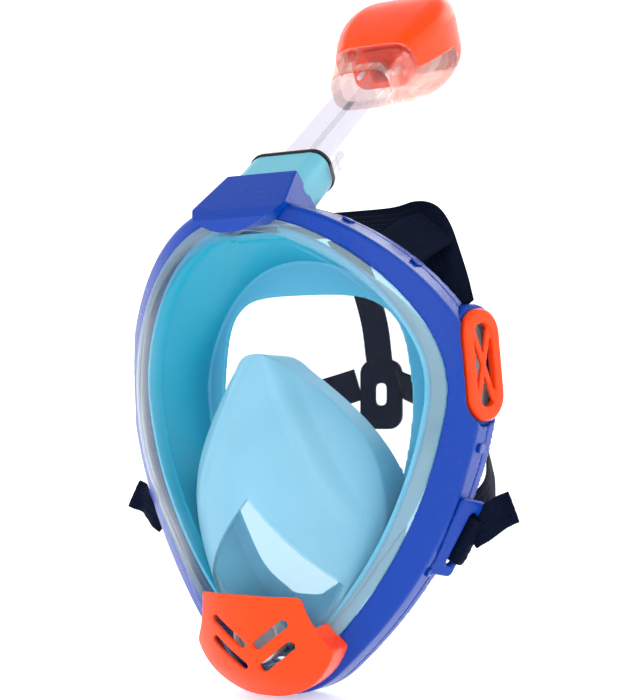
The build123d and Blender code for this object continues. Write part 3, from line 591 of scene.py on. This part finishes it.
# Round each lug's outer bar the strap folds over on itself. LOOP is drawn in the lug's own frame: how
# far out along the lug, and how far in front of it.
LUG_CENTRE = Vector((84.5, 1.0, -66.0))
LUG_ALONG = Vector((0.469, 0, 0.883))
LUG_OUT = Vector((0.375, 0.906, -0.199))
LUG_NORMAL = Vector((0.80, -0.425, -0.425))
LOOP = [(4.6, -4.5), (4.8, -1.0), (4.9, 2.2), (6.4, 5.6), (9.4, 6.3), (12.4, 5.0), (13.4, 1.6),
        (13.2, -2.0), (11.0, -5.0)]
for label, side in SIDES:
    places = [LUG_CENTRE + LUG_OUT * out + LUG_NORMAL * up for out, up in LOOP]
    loop = [mirrored(place, side) * MM for place in places]
    strap(f"lug_webbing_{label}", curve_points(loop, steps=5), mirrored(LUG_ALONG, side), width=26 * MM,
          thick=2 * MM, body=ROOT, replaced=[f"nape_strap_{label}"])

# The link strap falls from the crown strap to the back pad.
LINK = [(51.5, 97.5), (78, 82), (101, 54), (110, 29)]
link = [Vector((0, y, z)) * MM for y, z in LINK]
strap("link_webbing", curve_points(link, steps=10), Vector((1, 0, 0)), width=18 * MM, thick=WEBBING,
      body=ROOT, replaced=["link_strap"], ribs=2)
rounded("back_pad", STRAP, ROOT, voxel=0.6 * MM, passes=8)

# ---------------------------------------------------------------- floor, light and camera
FLOOR_HEIGHT = CAD_BOX[0][2]
# The floor's rings, by how far out and how high they are, the hole in its middle and its steps round.
FLOOR_RINGS = [(0.0, 0.0), (1.2, 0.0), (2.2, 0.0), (2.8, 0.12), (3.2, 0.5), (3.35, 1.2), (3.35, 3.5)]
FLOOR_HOLE = 1 * MM
FLOOR_STEPS = 96


def backdrop():
    """Pale floor that curves up into a wall all round."""
    vertices, faces = [], []
    for reach, rise in FLOOR_RINGS:
        radius = reach + FLOOR_HOLE
        for step in range(FLOOR_STEPS):
            turn = 2 * pi * step / FLOOR_STEPS
            vertices.append((radius * cos(turn), radius * sin(turn), FLOOR_HEIGHT + rise))
    for ring in range(len(FLOOR_RINGS) - 1):
        inner, outer = ring * FLOOR_STEPS, (ring + 1) * FLOOR_STEPS
        for step in range(FLOOR_STEPS):
            nxt = (step + 1) % FLOOR_STEPS
            faces.append([inner + step, inner + nxt, outer + nxt, outer + step])
    mesh = bpy.data.meshes.new("studio_floor")
    mesh.from_pydata(vertices, [], faces)
    for face in mesh.polygons:
        face.use_smooth = True
    made, tree = tree_of("studio_white")
    shader = node(tree, "ShaderNodeBsdfPrincipled", Roughness=0.9)
    shader.inputs["Base Color"].default_value = (0.93, 0.93, 0.93, 1)
    shader.inputs["Emission Color"].default_value = (1, 1, 1, 1)
    shader.inputs["Emission Strength"].default_value = 0.42
    out = node(tree, "ShaderNodeOutputMaterial")
    tree.links.new(shader.outputs["BSDF"], out.inputs["Surface"])
    mesh.materials.append(made)
    floor = bpy.data.objects.new("studio_floor", mesh)
    bpy.context.scene.collection.objects.link(floor)


def lamp(name, place, target, size, power):
    """A white rectangular lamp at a place, turned to its target."""
    data = bpy.data.lights.new(name, "AREA")
    data.shape = "RECTANGLE"
    data.size, data.size_y = size
    data.energy = power
    obj = bpy.data.objects.new(name, data)
    bpy.context.scene.collection.objects.link(obj)
    obj.location = place
    obj.rotation_euler = (Vector(target) - Vector(place)).to_track_quat("-Z", "Y").to_euler()


backdrop()
world = bpy.data.worlds.new("studio")
world.use_nodes = True
world.node_tree.nodes["Background"].inputs["Color"].default_value = (1, 1, 1, 1)
world.node_tree.nodes["Background"].inputs["Strength"].default_value = 0.4
bpy.context.scene.world = world
bpy.context.scene.view_settings.view_transform = "Standard"
lamp("key", (-0.9, -1.3, 1.3), target=(0, 0, 0), size=(1.0, 1.0), power=11)
lamp("fill", (1.5, -0.9, 0.5), target=(0, 0, 0), size=(1.2, 1.2), power=3.5)
lamp("back", (0.4, 1.4, 1.2), target=(0, 0, 0.05), size=(1.4, 0.8), power=6)

# The camera stands 617 mm from a point 50 mm in front of the face seal's middle, at the same height and
# 28 degrees to the side of straight ahead. It aims a little to its right of that point and above it.
TURN = radians(28)
FOCUS = Vector((0, -0.05, 0))
AWAY = 0.617
AIM_ASIDE = 0.0501
AIM_UP = 0.0472
ahead = Vector((-sin(TURN), cos(TURN), 0))
aside = Vector((cos(TURN), sin(TURN), 0))
camera_data = bpy.data.cameras.new("camera")
camera_data.sensor_fit = "VERTICAL"
camera_data.sensor_height = 36.0
camera_data.lens = 62.1
camera = bpy.data.objects.new("camera", camera_data)
bpy.context.scene.collection.objects.link(camera)
camera.location = FOCUS - ahead * AWAY
aim = ahead + aside * AIM_ASIDE + Vector((0, 0, AIM_UP))
camera.rotation_euler = aim.to_track_quat("-Z", "Y").to_euler()
bpy.context.scene.camera = camera
